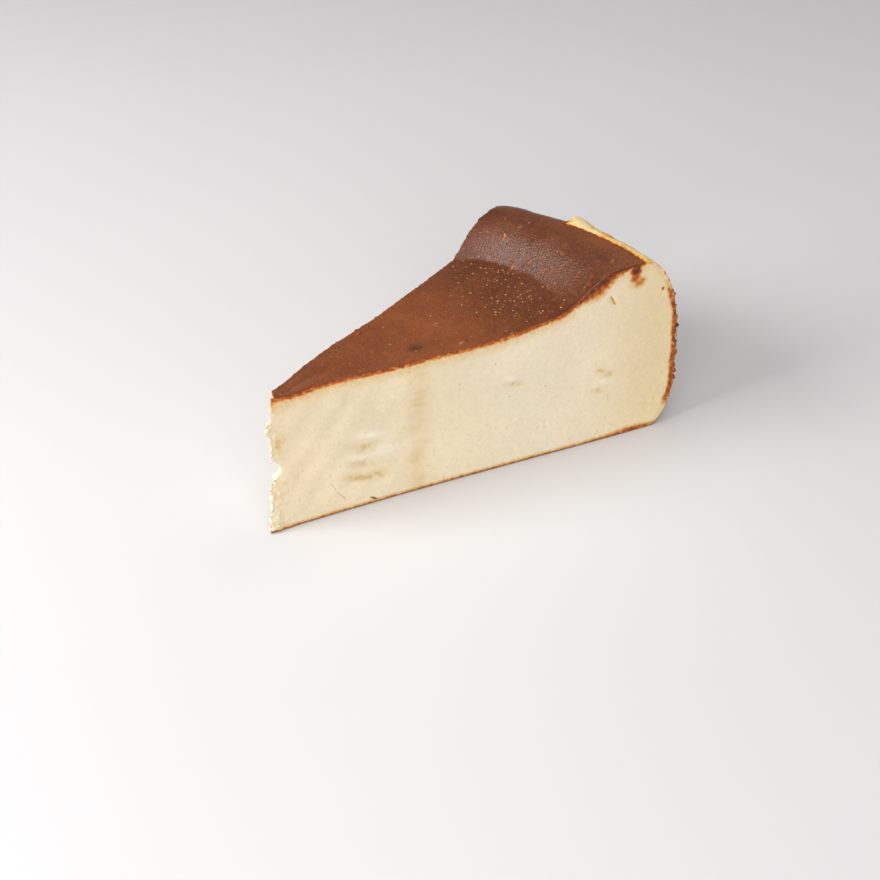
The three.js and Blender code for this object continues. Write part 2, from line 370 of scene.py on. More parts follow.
# Marks of the knife on the near cut face: middle (r, z), half sizes along and across, and height.
GOUGE_TILT = -16
GOUGES = (
    ((28.5, 18.0), (4.5, 1.5), -0.4),
    ((27.5, 12.8), (3.6, 1.0), -0.3),
    ((26.8, 8.8), (5.0, 1.1), -0.3),
    ((31.8, 8.2), (2.4, 1.5), -0.4),
    ((30.5, 21.5), (5.0, 1.2), 0.14),
    ((34.5, 15.5), (4.0, 2.2), 0.16),
    ((27.0, 15.2), (3.0, 0.8), 0.1),
    ((6.2, 26.0), (1.6, 2.6), -0.4),
    ((69.8, 27.2), (1.6, 0.8), 0.3),
    ((70.6, 25.2), (2.4, 0.7), -0.3),
    ((96.4, 21.6), (1.6, 0.8), -0.25),
    ((99.0, 20.0), (1.4, 1.0), -0.3),
    ((97.4, 17.6), (2.6, 0.8), 0.25),
    ((96.0, 15.0), (1.8, 0.8), -0.2),
)
STAIN = {"at": 43.2, "spread": 2.8}  # tan band down the near cut face
MIRRORED_AT = 96  # the far cut face has the same marks, the other way round

# Cracks of the near cut face: both ends (r, z) and half the width.
CRACKS = (
    ((18.7, 9.6), (20.4, 6.0), 0.15),
    ((20.1, 6.4), (22.4, 3.4), 0.18),
    ((28.9, 2.0), (31.2, 0.5), 0.4),
    ((97.4, 45.2), (99.2, 41.8), 0.36),
)
CRACK_REACH = {"across": 1.0, "past_end": 0.2}  # cells this near to a crack know it

# Spots of the top: middle (r, v), half sizes along and across, and height. The first is dark.
TOP_SPOTS = (
    ((45.8, 0.25), (2.4, 1.5), -0.5),
    ((56.5, 0.085), (1.2, 0.7), 0.45),
    ((86.2, 0.62), (1.3, 0.7), 0.35),
    ((90.3, 0.77), (0.9, 0.5), 0.3),
    ((93.8, 0.73), (0.9, 0.5), 0.3),
    ((55.7, 0.48), (0.8, 0.5), 0.25),
    ((100.1, 0.09), (0.7, 0.5), 0.3),
    ((81.6, 0.31), (0.9, 0.6), 0.25),
)

# Layers of fine relief: height, size of the lumps (one, or one along each of r, s and z), octaves of
# noise, and shift. Wherever there is a shift, it picks another part of the noise.
SKIN_RELIEF = ((0.05, (7.0, 5.0, 7.0), 3, 0), (0.035, (1.6, 1.2, 1.6), 2, 0))
CUT_RELIEF = ((0.03, (5.0, 5.0, 2.0), 3, 0), (0.03, 1.2, 2, 0))
CRUMB_RELIEF = ((0.55, 2.6, 4, 0), (0.5, 1.2, 2, 5))
PALE_RELIEF = ((0.10, 4.0, 3, 0), (0.05, 1.5, 3, 0))
CURD_GRAIN = ((0.6, 1.2, 3, 9),)
CURDS = {"height": 1.1, "size": 2.4, "level": 0.2}
TORN = {"from": 2.5, "to": 9}  # how far from the middle the broken tip is rough
BUBBLED = {"height": 0.10, "size": 1.3, "shift": 40}
RAGGED_EDGE = {"height": 0.25, "size": 1.1, "shift": 20, "reach": 0.5}  # along the edges of the skin
STREAKS = {"share": 0.4, "wider": (1.5, 2), "size": (4.0, 4.0, 0.9), "slope": 0.28}  # round a gouge
CRUMB_REACH = 1.5  # how far onto a cut face the side's crumbs go
BASE_DIMPLES = {"height": 0.03, "size": 6.0}

# Where bubbles and loose crumbs lie.
BUBBLES = {"r": 80, "long": 9, "v": 0.5, "wide": 0.36}
SPARSE_BUBBLES = 0.04  # on the rest of the skin
BUBBLE_MARGIN = {"r": 1, "v": 0.02}
CUT_CRUMBS = {"share": 0.5, "reach": 0.6}
TIP_CRUMBS = {"full": 2, "none": 6, "below_top": 5, "above_base": 1}
EDGE_CRUMBS = {"v": 0.88, "starting": (6, 14), "ending": (35, 60)}


def patch(x, y, middle, half, tilt=0):
    """A soft spot: 1 in its middle, fading over its two half sizes, turned by tilt degrees."""
    dx, dy = x - middle[0], y - middle[1]
    c, s = math.cos(math.radians(tilt)), math.sin(math.radians(tilt))
    return np.exp(-(((dx * c + dy * s) / half[0]) ** 2) - ((dy * c - dx * s) / half[1]) ** 2)


def to_segment(r, z, start, end):
    """Distance along a straight mark, 0 to 1 and past its ends, and signed distance across it."""
    step = np.subtract(end, start)
    length = np.hypot(*step)
    dr, dz = r - start[0], z - start[1]
    along = (dr * step[0] + dz * step[1]) / length**2
    return along, (dz * step[0] - dr * step[1]) / length


def skin_end(v):
    """Radius at which the dark skin ends."""
    past_fold = smoothstep(v, SKIN_PAST_FOLD["from"], SKIN_PAST_FOLD["to"])
    return crest_radius(v) - SKIN_ENDS_BEFORE_CREST + SKIN_PAST_FOLD["more"] * past_fold


def below_skin(r, z, v):
    """How far a place is below the skin, or below the skin's end where it is farther out."""
    return np.maximum(0, top_height(np.minimum(r, skin_end(v)), v) - z)


def near_side(r, z, v, reach):
    """1 on the side, fading farther in."""
    return np.exp(-np.maximum(0, side_radius(z, v) - r) / reach)


def bubbling(r, v):
    return bell(r, BUBBLES["r"], BUBBLES["long"]) * bell(v, BUBBLES["v"], BUBBLES["wide"])


def crusty(z, place):
    """1 where the side is toasted crumb, 0 on the pale shoulder and the worn foot."""
    z = z + CRUST_BORDER["swing"] * grain(place + CRUST_BORDER["shift"], CRUST_BORDER["size"], 2)
    return smoothstep(z, CRUST["low"], CRUST["full"]) * (1 - smoothstep(z, CRUST["fading"], CRUST["high"]))


def browning(r, z, v, place, on):
    """Doneness of the skin's cells: under the skin, in from the side, up from the base, and in blots."""
    end = skin_end(v)
    past = np.hypot(np.maximum(0, r - end), below_skin(r, z, v))
    burn = BURN["depth"] + BURN["more"] * bell(r, BURN["at"], BURN["spread"])
    burn = burn + BURN_AT_TIP["more"] * np.exp(-r / BURN_AT_TIP["reach"])
    near_tip = np.exp(-r / GLOW["reach"])
    fade = GLOW["depth"] + GLOW["more"] * near_tip
    glow = GLOW["level"] * (1 + GLOW["richer"] * near_tip) * (1 - past / fade)
    under_skin = np.maximum(1 - past / burn, glow)

    crust = crusty(z, place)
    toasted = lerp(PALE_DONE, lerp(*CRUST_DONE, z / RIM_HEIGHT), crust)
    past_side = np.maximum(0, side_radius(z, v) - r - CRUST_THICK)
    by_side = toasted - lerp(*CRUST_FADE, crust) * past_side

    foot = bell(r, BASE_LINE_AT_FOOT["at"], BASE_LINE_AT_FOOT["spread"])
    line_done = BASE_LINE["done"] * (1 + BASE_LINE_AT_FOOT["richer"] * foot)
    line_height = BASE_LINE["height"] + BASE_LINE_AT_FOOT["more"] * foot
    by_base = line_done - BASE_LINE["fading"] * z / line_height
    blots = [(level + BLOT_BORDER) * patch(r, z, at, half) for at, half, level in BLOTS]
    by_blots = np.where(v == 0, np.maximum.reduce(blots), 0) - BLOT_BORDER

    char = CHAR["usual"] + CHAR["more"] * bell(r, CHAR["at"], CHAR["spread"])
    cut = np.minimum(np.maximum.reduce([under_skin, by_side, by_base, by_blots]), char)
    skin = np.clip(1 + (end - r) / SKIN_DONE["border"], 0, SKIN_DONE["most"])
    skin = np.where(on[TOP] < 1, np.minimum(skin, char + SKIN_EDGE_DONE), skin)
    golden = SHOULDER_GLOW["level"] * (1 - smoothstep(v, 0, SHOULDER_GLOW["ends"]))
    golden = golden * np.exp(-np.maximum(0, r - end) / SHOULDER_GLOW["reach"])
    done = np.where(on[TOP] > 0, np.maximum.reduce([skin, toasted, golden]), cut)
    done = np.where((on[SIDE] > 0) & (on[TOP] == 0), toasted, done)
    in_base = on[BASE] > 0.4  # inside it or on its edges, but not where three sides meet
    return np.where(in_base & (on[SIDE] == 0), BASE_DONE, done)


def cracks(r, z):
    """Signed distance across the nearest crack and half its width there, which is 0 away from it."""
    reach, past_end = CRACK_REACH["across"], CRACK_REACH["past_end"]
    across, half = np.full(len(r), 2 * reach), np.zeros(len(r))
    for start, end, width in CRACKS:
        along, off = to_segment(r, z, start, end)
        beside = (np.abs(off) < reach) & (along > -past_end) & (along < 1 + past_end)
        across = np.where(beside, off, across)
        half = np.where(beside, width * np.sqrt(np.maximum(0, 1 - (2 * along - 1) ** 4)), half)
    return across, half


def on_top(at):
    """Middle of a spot of the top, given by r and v, in r and s."""
    return at[0], (at[1] - 0.5) * WEDGE * at[0]


def marks_radius(r, v):
    """The radius whose marks a cut face shows at r."""
    return np.where(v == 1, MIRRORED_AT - r, r)


def tinting(marked, z, sign):
    """How much the gouges (sign -1) or the ridges (sign 1) of a cut face tint a place."""
    return sum(patch(marked, z, at, half, GOUGE_TILT) for at, half, height in GOUGES if height * sign > 0)


def layered(layers, place):
    return sum(height * grain(place + shift, size, octaves) for height, size, octaves, shift in layers)


def relief_of(r, s, z, v, place, on, crust):
    """Height of the fine relief over the smooth form, for the top, the cut faces and the side."""
    blistered = grain(place + BUBBLED["shift"], BUBBLED["size"], 2)
    skin = layered(SKIN_RELIEF, place) + BUBBLED["height"] * bubbling(r, v) * blistered
    skin += sum(height * patch(r, s, on_top(at), half) for at, half, height in TOP_SPOTS)

    marked = marks_radius(r, v)
    streaks = grain(place + np.outer(r, (0, 0, STREAKS["slope"])), STREAKS["size"], 3)
    face = layered(CUT_RELIEF, place)
    for at, half, height in GOUGES:
        wider = np.multiply(STREAKS["wider"], half)
        face += height * patch(marked, z, at, half, GOUGE_TILT)
        face += STREAKS["share"] * abs(height) * patch(marked, z, at, wider, GOUGE_TILT) * streaks

    torn = 1 - smoothstep(r, TORN["from"], TORN["to"])
    curds = CURDS["height"] * (np.abs(grain(place, CURDS["size"], 2)) - CURDS["level"])
    curds = curds + layered(CURD_GRAIN, place)
    crumb = crust * layered(CRUMB_RELIEF, place) + (1 - crust) * layered(PALE_RELIEF, place)
    face += torn * curds + crumb * near_side(r, z, v, CRUMB_REACH)

    ragged = grain(place + RAGGED_EDGE["shift"], RAGGED_EDGE["size"], 2)
    frayed = np.exp(-below_skin(r, z, v) / RAGGED_EDGE["reach"])
    frayed *= (on[TOP] < 1) * RAGGED_EDGE["height"] * ragged
    dimples = BASE_DIMPLES["height"] * np.minimum(0, grain(place, BASE_DIMPLES["size"]))
    return (
        on[TOP] * np.where(r > skin_end(v), crumb, skin)
        + (on[NEAR] + on[FAR] + on[TIP_END]) * face
        + on[SIDE] * crumb
        + on[BASE] * dimples
        + frayed
    )


def slice_mesh():
    grid, faces, sides = box_skin()
    u, v, w = crowded(grid)
    r, z = in_section(u, v, w)
    s = (v - 0.5) * WEDGE * r
    place = np.stack([r, s, z], axis=1)
    smooth = in_frame(r, z, v)

    on = {SIDE: u == 1, TIP_END: u == 0, FAR: v == 1, NEAR: v == 0, TOP: w == 1, BASE: w == 0}
    shared = sum(where.astype(float) for where in on.values())
    on = {side: where / shared for side, where in on.items()}

    crust = crusty(z, place)
    relief = relief_of(r, s, z, v, place, on, crust)
    places = smooth + corner_normals(smooth, faces) * relief[:, None]
    places[:, 2] = np.maximum(places[:, 2], 0)

    cut = (v == 0) | (v == 1)
    marked = marks_radius(r, v)
    across, half = cracks(marked, z)
    spots = [patch(r, s, on_top(at), half_size) for at, half_size, height in TOP_SPOTS]
    margin = BUBBLE_MARGIN["v"]
    open_skin = (w == 1) & (r < skin_end(v) - BUBBLE_MARGIN["r"]) & (v > margin) & (v < 1 - margin)
    on_cut = cut * near_side(r, z, v, CUT_CRUMBS["reach"]) * CUT_CRUMBS["share"]
    low_enough = (z < MIDDLE_HEIGHT - TIP_CRUMBS["below_top"]) & (z > TIP_CRUMBS["above_base"])
    by_tip = low_enough * (1 - smoothstep(r, TIP_CRUMBS["full"], TIP_CRUMBS["none"]))
    by_edge = smoothstep(r, *EDGE_CRUMBS["starting"]) * (1 - smoothstep(r, *EDGE_CRUMBS["ending"]))

    values = {
        "doneness": browning(r, z, v, place, on),
        "relief": relief,
        "stain": (v == 0) * bell(r, STAIN["at"], STAIN["spread"]),
        "dipped": cut * tinting(marked, z, -1),
        "ridged": cut * tinting(marked, z, 1),
        "dent": spots[0],
        "spots": sum(spots[1:]),
        "bubbly": open_skin * (bubbling(r, v) + SPARSE_BUBBLES),
        "crusty": crust * ((u == 1) + on_cut),
        "curdled": (cut | (u == 0)) * by_tip,
        "frayed": (w == 1) * (v > EDGE_CRUMBS["v"]) * by_edge,
    }
    mesh = bpy.data.meshes.new("slice")
    mesh.from_pydata((places * MM).tolist(), [], faces)
    vectors = {"place": place, "crack": np.stack([across, cut * half, 0 * half], axis=1)}
    for name, vector in vectors.items():
        mesh.attributes.new(name, "FLOAT_VECTOR", "POINT").data.foreach_set("vector", vector.ravel())
    for name, value in values.items():
        mesh.attributes.new(name, "FLOAT", "POINT").data.foreach_set("value", value.astype(float))
    mesh.polygons.foreach_set("material_index", np.array(MATERIAL_OF_SIDE)[sides])
    mesh.polygons.foreach_set("use_smooth", np.ones(len(faces), dtype=bool))
    mesh.update()
    return mesh


# ---- Materials ----


def linear(hex_colour):
    """An sRGB hex colour as linear values, with full alpha."""
    parts = [int(hex_colour[i : i + 2], 16) / 255 for i in (1, 3, 5)]
    return [p / 12.92 if p <= 0.04045 else ((p + 0.055) / 1.055) ** 2.4 for p in parts] + [1]


def add(tree, kind, inputs=None, stops=None, **settings):
    """Adds a node with its settings, its values and links by socket name or number, and its ramp.

    A hex colour is turned to linear, and a node stands for its first output in use."""
    made = tree.nodes.new(kind)
    for name, value in settings.items():
        setattr(made, name, value)
    for key, value in (inputs or {}).items():
        live = [i for i in made.inputs if i.enabled]
        socket = live[key] if isinstance(key, int) else next(i for i in live if i.name == key)
        if isinstance(value, bpy.types.Node):
            value = next(o for o in value.outputs if o.enabled)
        if isinstance(value, bpy.types.NodeSocket):
            tree.links.new(value, socket)
        else:
            socket.default_value = linear(value) if str(value).startswith("#") else value
    for i, (at, colour) in enumerate(stops or ()):
        ramp = made.color_ramp.elements
        stop = ramp[i] if i < 2 else ramp.new(at)
        stop.position, stop.color = at, linear(colour)
    return made


def new_material(name):
    material = bpy.data.materials.new(name)
    material.use_nodes = True
    material.node_tree.nodes.clear()
    return material, material.node_tree


NOISE, RAMP, RANGE = "ShaderNodeTexNoise", "ShaderNodeValToRGB", "ShaderNodeMapRange"
MATH, MIX, ATTRIBUTE = "ShaderNodeMath", "ShaderNodeMix", "ShaderNodeAttribute"
SHADER, OUTPUT, BUMP = "ShaderNodeBsdfPrincipled", "ShaderNodeOutputMaterial", "ShaderNodeBump"

# Colours of doneness, from pale crumb to burnt skin. Their pale end is lighter than a cut face's at the
# same doneness: painted light on the pale shoulder, which faces up.
BROWNING = (
    (0.0, "#F5E3BA"),
    (0.16, "#F3D390"),
    (0.3, "#E4A441"),
    (0.44, "#C46C14"),
    (0.6, "#9A450A"),
    (0.8, "#6C2D09"),
    (1.0, "#552A14"),
)
# The same pale end on a cut face, without the shoulder's painted light.
CUT_FACE_FADE = ((0.0, "#E8D3A8"), (0.16, "#E4C48F"), (0.3, "#DAA258"))  # its pale end on a cut face


def baked_cream_cheese():
    """Baked cream cheese, cut with a wet knife: dense, moist and matt, with light soaking into it.

    The eye sees a soft ivory with faint clouds, tan hollows where the knife tore it, and amber where
    the burnt skin, the toasted side and the base brown it from outside."""
    material, tree = new_material("baked_cream_cheese")
    place = add(tree, ATTRIBUTE, attribute_name="place").outputs["Vector"]
    names = ("doneness", "stain", "dipped", "ridged")
    done, stain, dipped, ridged = (add(tree, ATTRIBUTE, attribute_name=n).outputs["Fac"] for n in names)
    at = add(tree, "ShaderNodeSeparateXYZ", {"Vector": place})

    # Palest inside, yellower towards the tip and the hot side, with clouds of 20 mm and mottling of 1.5 mm.
    radius = add(tree, MATH, {0: at.outputs["X"], 1: CAKE_RADIUS}, operation="DIVIDE")
    colour = add(tree, RAMP, {"Fac": radius}, [
        (0.1, "#ECDBBA"), (0.4, "#EEDFBF"), (0.65, "#F0E3C7"), (0.78, "#EFDFC1"), (0.94, "#EDD8AC"),
    ])
    cloud = add(tree, NOISE, {"Vector": place, "Scale": 1 / 20, "Detail": 3})
    mottle = add(tree, NOISE, {"Vector": place, "Scale": 1 / 1.5, "Detail": 4})
    shade = add(tree, MATH, {0: cloud, 1: mottle}, operation="ADD")
    shade = add(tree, RANGE, {
        "Value": shade, "From Min": 0.75, "From Max": 1.25, "To Min": 0.95, "To Max": 1.04,
    })
    colour = add(tree, "ShaderNodeHueSaturation", {"Value": shade, "Color": colour})

    # Scratches that the knife's edge left, about 1 mm apart: they break up the stain and the dips.
    squeezed = add(tree, "ShaderNodeMapping", {
        "Vector": place, "Rotation": (0, math.radians(-GOUGE_TILT), 0), "Scale": (0.22, 0.22, 1),
    })
    scratch = add(tree, NOISE, {"Vector": squeezed, "Scale": 1 / 1.4, "Detail": 4})
    streaky = add(tree, RANGE, {
        "Value": scratch, "From Min": 0.35, "From Max": 0.65, "To Min": 0.45, "To Max": 0.95,
    })
    clumpy = add(tree, RANGE, {
        "Value": mottle, "From Min": 0.4, "From Max": 0.6, "To Min": 0.3, "To Max": 1.5,
    })
    blurred = add(tree, NOISE, {"Vector": place, "Scale": 1 / 6, "Detail": 3})
    patchy = add(tree, RANGE, {
        "Value": blurred, "From Min": 0.4, "From Max": 0.62, "To Min": 0.4, "To Max": 0.8,
    })
    stain = add(tree, MATH, {0: stain, 1: patchy}, operation="MULTIPLY")
    dipped = add(tree, MATH, {0: dipped, 1: clumpy}, operation="MULTIPLY")
    tinted = add(tree, MATH, {0: dipped, 1: stain}, operation="ADD")
    tinted = add(tree, MATH, {0: tinted, 1: streaky}, operation="MULTIPLY", use_clamp=True)
    colour = add(tree, MIX, {"Factor": tinted, "A": colour, "B": "#DBBB80"}, data_type="RGBA")
    wiped = add(tree, MATH, {0: ridged, 1: streaky}, operation="MULTIPLY", use_clamp=True)
    colour = add(tree, MIX, {"Factor": wiped, "A": colour, "B": "#F8F0DC"}, data_type="RGBA")

    # Tan flecks of 1 mm low down, and a few dark specks a third of a millimetre wide.
    fleck = add(tree, NOISE, {"Vector": place, "Scale": 1 / 1.0, "Detail": 2})
    fleck = add(tree, RANGE, {"Value": fleck, "From Min": 0.62, "From Max": 0.74, "To Max": 0.6})
    low = add(tree, RANGE, {"Value": at.outputs["Z"], "From Min": 30, "From Max": 12})
    fleck = add(tree, MATH, {0: fleck, 1: low}, operation="MULTIPLY")
    colour = add(tree, MIX, {"Factor": fleck, "A": colour, "B": "#DDBE86"}, data_type="RGBA")
    cell = add(tree, "ShaderNodeTexVoronoi", {"Vector": place, "Scale": 1 / 5})
    chosen = add(tree, "ShaderNodeSeparateColor", {"Color": cell.outputs["Color"]})
    chosen = add(tree, MATH, {0: chosen.outputs["Red"], 1: 0.8}, operation="GREATER_THAN")
    speck = add(tree, RANGE, {
        "Value": cell.outputs["Distance"], "From Min": 0.06, "From Max": 0.02, "To Max": 0.6,
    })
    speck = add(tree, MATH, {0: speck, 1: chosen}, operation="MULTIPLY")
    colour = add(tree, MIX, {"Factor": speck, "A": colour, "B": "#8A6434"}, data_type="RGBA")

    # Browning. Its border is soft where it is golden and ragged where it is dark.
    swing = add(tree, RANGE, {
        "Value": done, "From Min": 0.0, "From Max": 0.6, "To Min": 0.05, "To Max": 0.25,
    })
    frizz = add(tree, NOISE, {"Vector": place, "Scale": 1 / 1.1, "Detail": 3, "Roughness": 0.65})
    ragged = add(tree, RANGE, {
        "Value": frizz, "From Min": 0.3, "From Max": 0.7, "To Min": -1, "To Max": 1,
    })
    shown = add(tree, MATH, {0: ragged, 1: swing, 2: done}, operation="MULTIPLY_ADD")
    brown = add(tree, RAMP, {"Fac": shown}, CUT_FACE_FADE + BROWNING[len(CUT_FACE_FADE) :])
    share = add(tree, RANGE, {
        "Value": shown, "From Min": -0.15, "From Max": 0.2,
    }, interpolation_type="SMOOTHSTEP")
    colour = add(tree, MIX, {"Factor": share, "A": colour, "B": brown}, data_type="RGBA")

    # Cracks: golden olive where they are thin, brown where they gape.
    crack = add(tree, ATTRIBUTE, attribute_name="crack").outputs["Vector"]
    crack = add(tree, "ShaderNodeSeparateXYZ", {"Vector": crack})
    off = add(tree, MATH, {0: crack.outputs["X"]}, operation="ABSOLUTE")
    inside = add(tree, MATH, {0: crack.outputs["Y"], 1: off}, operation="SUBTRACT")
    inside = add(tree, RANGE, {"Value": inside, "From Min": 0, "From Max": 0.15, "To Max": 0.9})
    gaping = add(tree, RAMP, {"Fac": crack.outputs["Y"]}, [
        (0.12, "#C8A850"), (0.36, "#C2982C"), (0.4, "#7A3C10"),
    ])
    colour = add(tree, MIX, {"Factor": inside, "A": colour, "B": gaping}, data_type="RGBA")

    # Relief too fine for the mesh: scratches, pores of 0.6 mm and the cracks' lips.
    pore = add(tree, NOISE, {"Vector": place, "Scale": 1 / 0.6, "Detail": 3})
    height = add(tree, MATH, {0: scratch, 1: pore}, operation="ADD")
    height = add(tree, MATH, {0: inside, 1: -0.3, 2: height}, operation="MULTIPLY_ADD")
    bump = add(tree, BUMP, {"Strength": 0.5, "Distance": 0.25 * MM, "Height": height})
    gloss = add(tree, RANGE, {
        "Value": mottle, "From Min": 0.3, "From Max": 0.7, "To Min": 0.46, "To Max": 0.6,
    })
    shader = add(tree, SHADER, {
        "Base Color": colour.outputs[2], "Roughness": gloss, "IOR": 1.42, "Normal": bump,
        "Subsurface Weight": 0.3, "Subsurface Radius": (3 * MM, 2 * MM, 1 * MM), "Subsurface Scale": 1.0,
    })
    add(tree, OUTPUT, {"Surface": shader})
    return material


def burnt_skin():
    """The outside of the cake: sugar and milk browned in a hot oven, dry and satin where it burnt.

    The eye sees a dark red-brown skin with a soft sheen on the rim's slope, a pale shoulder that the
    baking paper kept from burning, made lighter still by painted light, and toasted, crumbly brown below
    it."""
    material, tree = new_material("burnt_skin")
    place = add(tree, ATTRIBUTE, attribute_name="place").outputs["Vector"]
    names = ("doneness", "relief", "dent", "spots")
    done, relief, dent, spots = (add(tree, ATTRIBUTE, attribute_name=n).outputs["Fac"] for n in names)
    at = add(tree, "ShaderNodeSeparateXYZ", {"Vector": place})

    # Toasted and pale parts: crumbs of 1.2 mm, browner where they stand out, and golden blotches.
    mottle = add(tree, NOISE, {"Vector": place, "Scale": 1 / 1.2, "Detail": 4})
    ragged = add(tree, RANGE, {
        "Value": mottle, "From Min": 0.3, "From Max": 0.7, "To Min": -1, "To Max": 1,
    })
    swing = add(tree, RANGE, {
        "Value": done, "From Min": 0.05, "From Max": 0.5, "To Min": 0.03, "To Max": 0.25,
    })
    shown = add(tree, MATH, {0: ragged, 1: swing, 2: done}, operation="MULTIPLY_ADD")
    flaked = add(tree, RANGE, {
        "Value": relief, "From Min": -0.4, "From Max": 0.4, "To Min": -1, "To Max": 1,
    })
    shown = add(tree, MATH, {0: flaked, 1: swing, 2: shown}, operation="MULTIPLY_ADD")
    blotch = add(tree, NOISE, {"Vector": place, "Scale": 1 / 6, "Detail": 5})
    golden = add(tree, RANGE, {"Value": blotch, "From Min": 0.45, "From Max": 0.7, "To Max": 0.28})
    shown = add(tree, MATH, {0: shown, 1: golden}, operation="ADD")
    # The ramp's pale end is painted light on the shoulder, lighter than the shoulder's own colour.
    brown = add(tree, RAMP, {"Fac": shown}, BROWNING)

    # The burnt skin: darker round the rim, in patches of 10 mm, with faint streaks and a fine grain.
    radius = add(tree, MATH, {0: at.outputs["X"], 1: CAKE_RADIUS}, operation="DIVIDE")
    zone = add(tree, RAMP, {"Fac": radius}, [
        (0.0, "#6A3416"), (0.44, "#7F421B"), (0.6, "#673413"),
        (0.7, "#54280D"), (0.8, "#5C2E13"), (0.87, "#764020"),
    ])
    patches = add(tree, NOISE, {"Vector": place, "Scale": 1 / 10, "Detail": 5})
    turned = add(tree, "ShaderNodeMapping", {
        "Vector": place, "Rotation": (0, 0, math.radians(38)), "Scale": (0.16, 1, 1),
    })
    streak = add(tree, NOISE, {"Vector": turned, "Scale": 1 / 0.9, "Detail": 3})
    fine = add(tree, NOISE, {"Vector": place, "Scale": 1 / 0.7, "Detail": 2})
    tone = add(tree, MATH, {0: streak, 1: 0.3, 2: patches}, operation="MULTIPLY_ADD")
    tone = add(tree, MATH, {0: fine, 1: 0.9, 2: tone}, operation="MULTIPLY_ADD")
    tone = add(tree, RANGE, {
        "Value": tone, "From Min": 0.8, "From Max": 1.4, "To Min": 0.74, "To Max": 1.26,
    })
    skin = add(tree, "ShaderNodeHueSaturation", {"Value": tone, "Color": zone})
    fleck = add(tree, NOISE, {"Vector": place, "Scale": 1 / 1.6, "Detail": 2})
    fleck = add(tree, RANGE, {"Value": fleck, "From Min": 0.56, "From Max": 0.72, "To Max": 0.35})
    skin = add(tree, MIX, {"Factor": fleck, "A": skin, "B": "#93501F"}, data_type="RGBA")
    skin = add(tree, MIX, {"Factor": dent, "A": skin, "B": "#4C2816"}, data_type="RGBA")
    # Raised spots are lighter: partly their own paler colour, partly a painted highlight where their rims
    # catch the light.
    spot_tint_and_glint = add(tree, RANGE, {"Value": spots, "From Min": 0.4, "From Max": 0.9, "To Max": 0.7})
    skin = add(tree, MIX, {"Factor": spot_tint_and_glint, "A": skin, "B": "#A86C3E"}, data_type="RGBA")

    sound = add(tree, MATH, {0: ragged, 1: 0.1, 2: done}, operation="MULTIPLY_ADD")
    is_skin = add(tree, RANGE, {
        "Value": sound, "From Min": 0.74, "From Max": 0.95,
    }, interpolation_type="SMOOTHSTEP")
    colour = add(tree, MIX, {"Factor": is_skin, "A": brown, "B": skin}, data_type="RGBA")

    # A pebbled grain of half a millimetre breaks up the sheen, which is uneven from patch to patch.
    pebble = add(tree, NOISE, {"Vector": place, "Scale": 1 / 0.48, "Detail": 2})
    bump = add(tree, BUMP, {"Strength": 1.0, "Distance": 0.2 * MM, "Height": pebble})
    satin = add(tree, RANGE, {
        "Value": patches, "From Min": 0.35, "From Max": 0.65, "To Min": 0.28, "To Max": 0.4,
    })
    satin = add(tree, MIX, {"Factor": dent, "A": satin, "B": 0.7}, data_type="FLOAT")
    gloss = add(tree, MIX, {"Factor": is_skin, "A": 0.75, "B": satin}, data_type="FLOAT")
    shader = add(tree, SHADER, {
        "Base Color": colour.outputs[2], "Roughness": gloss, "IOR": 1.45, "Normal": bump,
    })
    add(tree, OUTPUT, {"Surface": shader})
    return material


def browned_base():
    """The underside, baked against paper: a dry tan crust with darker freckles and fine creases."""
    material, tree = new_material("browned_base")
    place = add(tree, ATTRIBUTE, attribute_name="place").outputs["Vector"]
    freckle = add(tree, NOISE, {"Vector": place, "Scale": 1 / 2.2, "Detail": 5})
    blotch = add(tree, NOISE, {"Vector": place, "Scale": 1 / 14, "Detail": 3})
    mixed = add(tree, MATH, {0: freckle, 1: blotch}, operation="ADD")
    mixed = add(tree, RANGE, {"Value": mixed, "From Min": 0.75, "From Max": 1.25})
    tan = add(tree, RAMP, {"Fac": mixed}, [(0.2, "#7E4A20"), (0.45, "#A86C34"), (0.8, "#C9985A")])
    crease = add(tree, "ShaderNodeTexVoronoi", {
        "Vector": place, "Scale": 1 / 9,
    }, feature="DISTANCE_TO_EDGE")
    height = add(tree, MATH, {0: crease, 1: freckle}, operation="ADD")
    bump = add(tree, BUMP, {"Strength": 0.5, "Distance": 0.3 * MM, "Height": height})
    shader = add(tree, SHADER, {"Base Color": tan, "Roughness": 0.75, "Normal": bump})
    add(tree, OUTPUT, {"Surface": shader})
    return material


def burst_bubbles():
    """Small bubbles that rose and dried on the skin: thin and glossier than what they lie on, and paler,
    partly their own colour and partly a painted highlight.
    """
    material, tree = new_material("burst_bubbles")
    place = add(tree, ATTRIBUTE, attribute_name="place").outputs["Vector"]
    each = add(tree, NOISE, {"Vector": place, "Scale": 1 / 2, "Detail": 1})
    # The paler end of this ramp is partly a painted highlight of the glints on the bubbles.
    colour = add(tree, RAMP, {"Fac": each}, [(0.35, "#7E4A26"), (0.5, "#9A6440"), (0.65, "#B08560")])
    shader = add(tree, SHADER, {"Base Color": colour, "Roughness": 0.42, "IOR": 1.45})
    add(tree, OUTPUT, {"Surface": shader})
    return material


# ---- Crumbs and bubbles: one tree of Geometry Nodes, run once for each kind ----

SCATTER_INPUTS = (
    ("Weight", "NodeSocketString"),
    ("Per square metre", "NodeSocketFloat"),
    ("Apart", "NodeSocketFloat"),
    ("Smallest", "NodeSocketFloat"),
    ("Largest", "NodeSocketFloat"),
    ("Flatness", "NodeSocketVector"),
    ("Sunk", "NodeSocketFloat"),
    ("Unevenness", "NodeSocketFloat"),
    ("Seed", "NodeSocketInt"),
    ("Material", "NodeSocketMaterial"),
)
LUMP_DENTS = 1 / 900  # size in metres of what makes a lump uneven


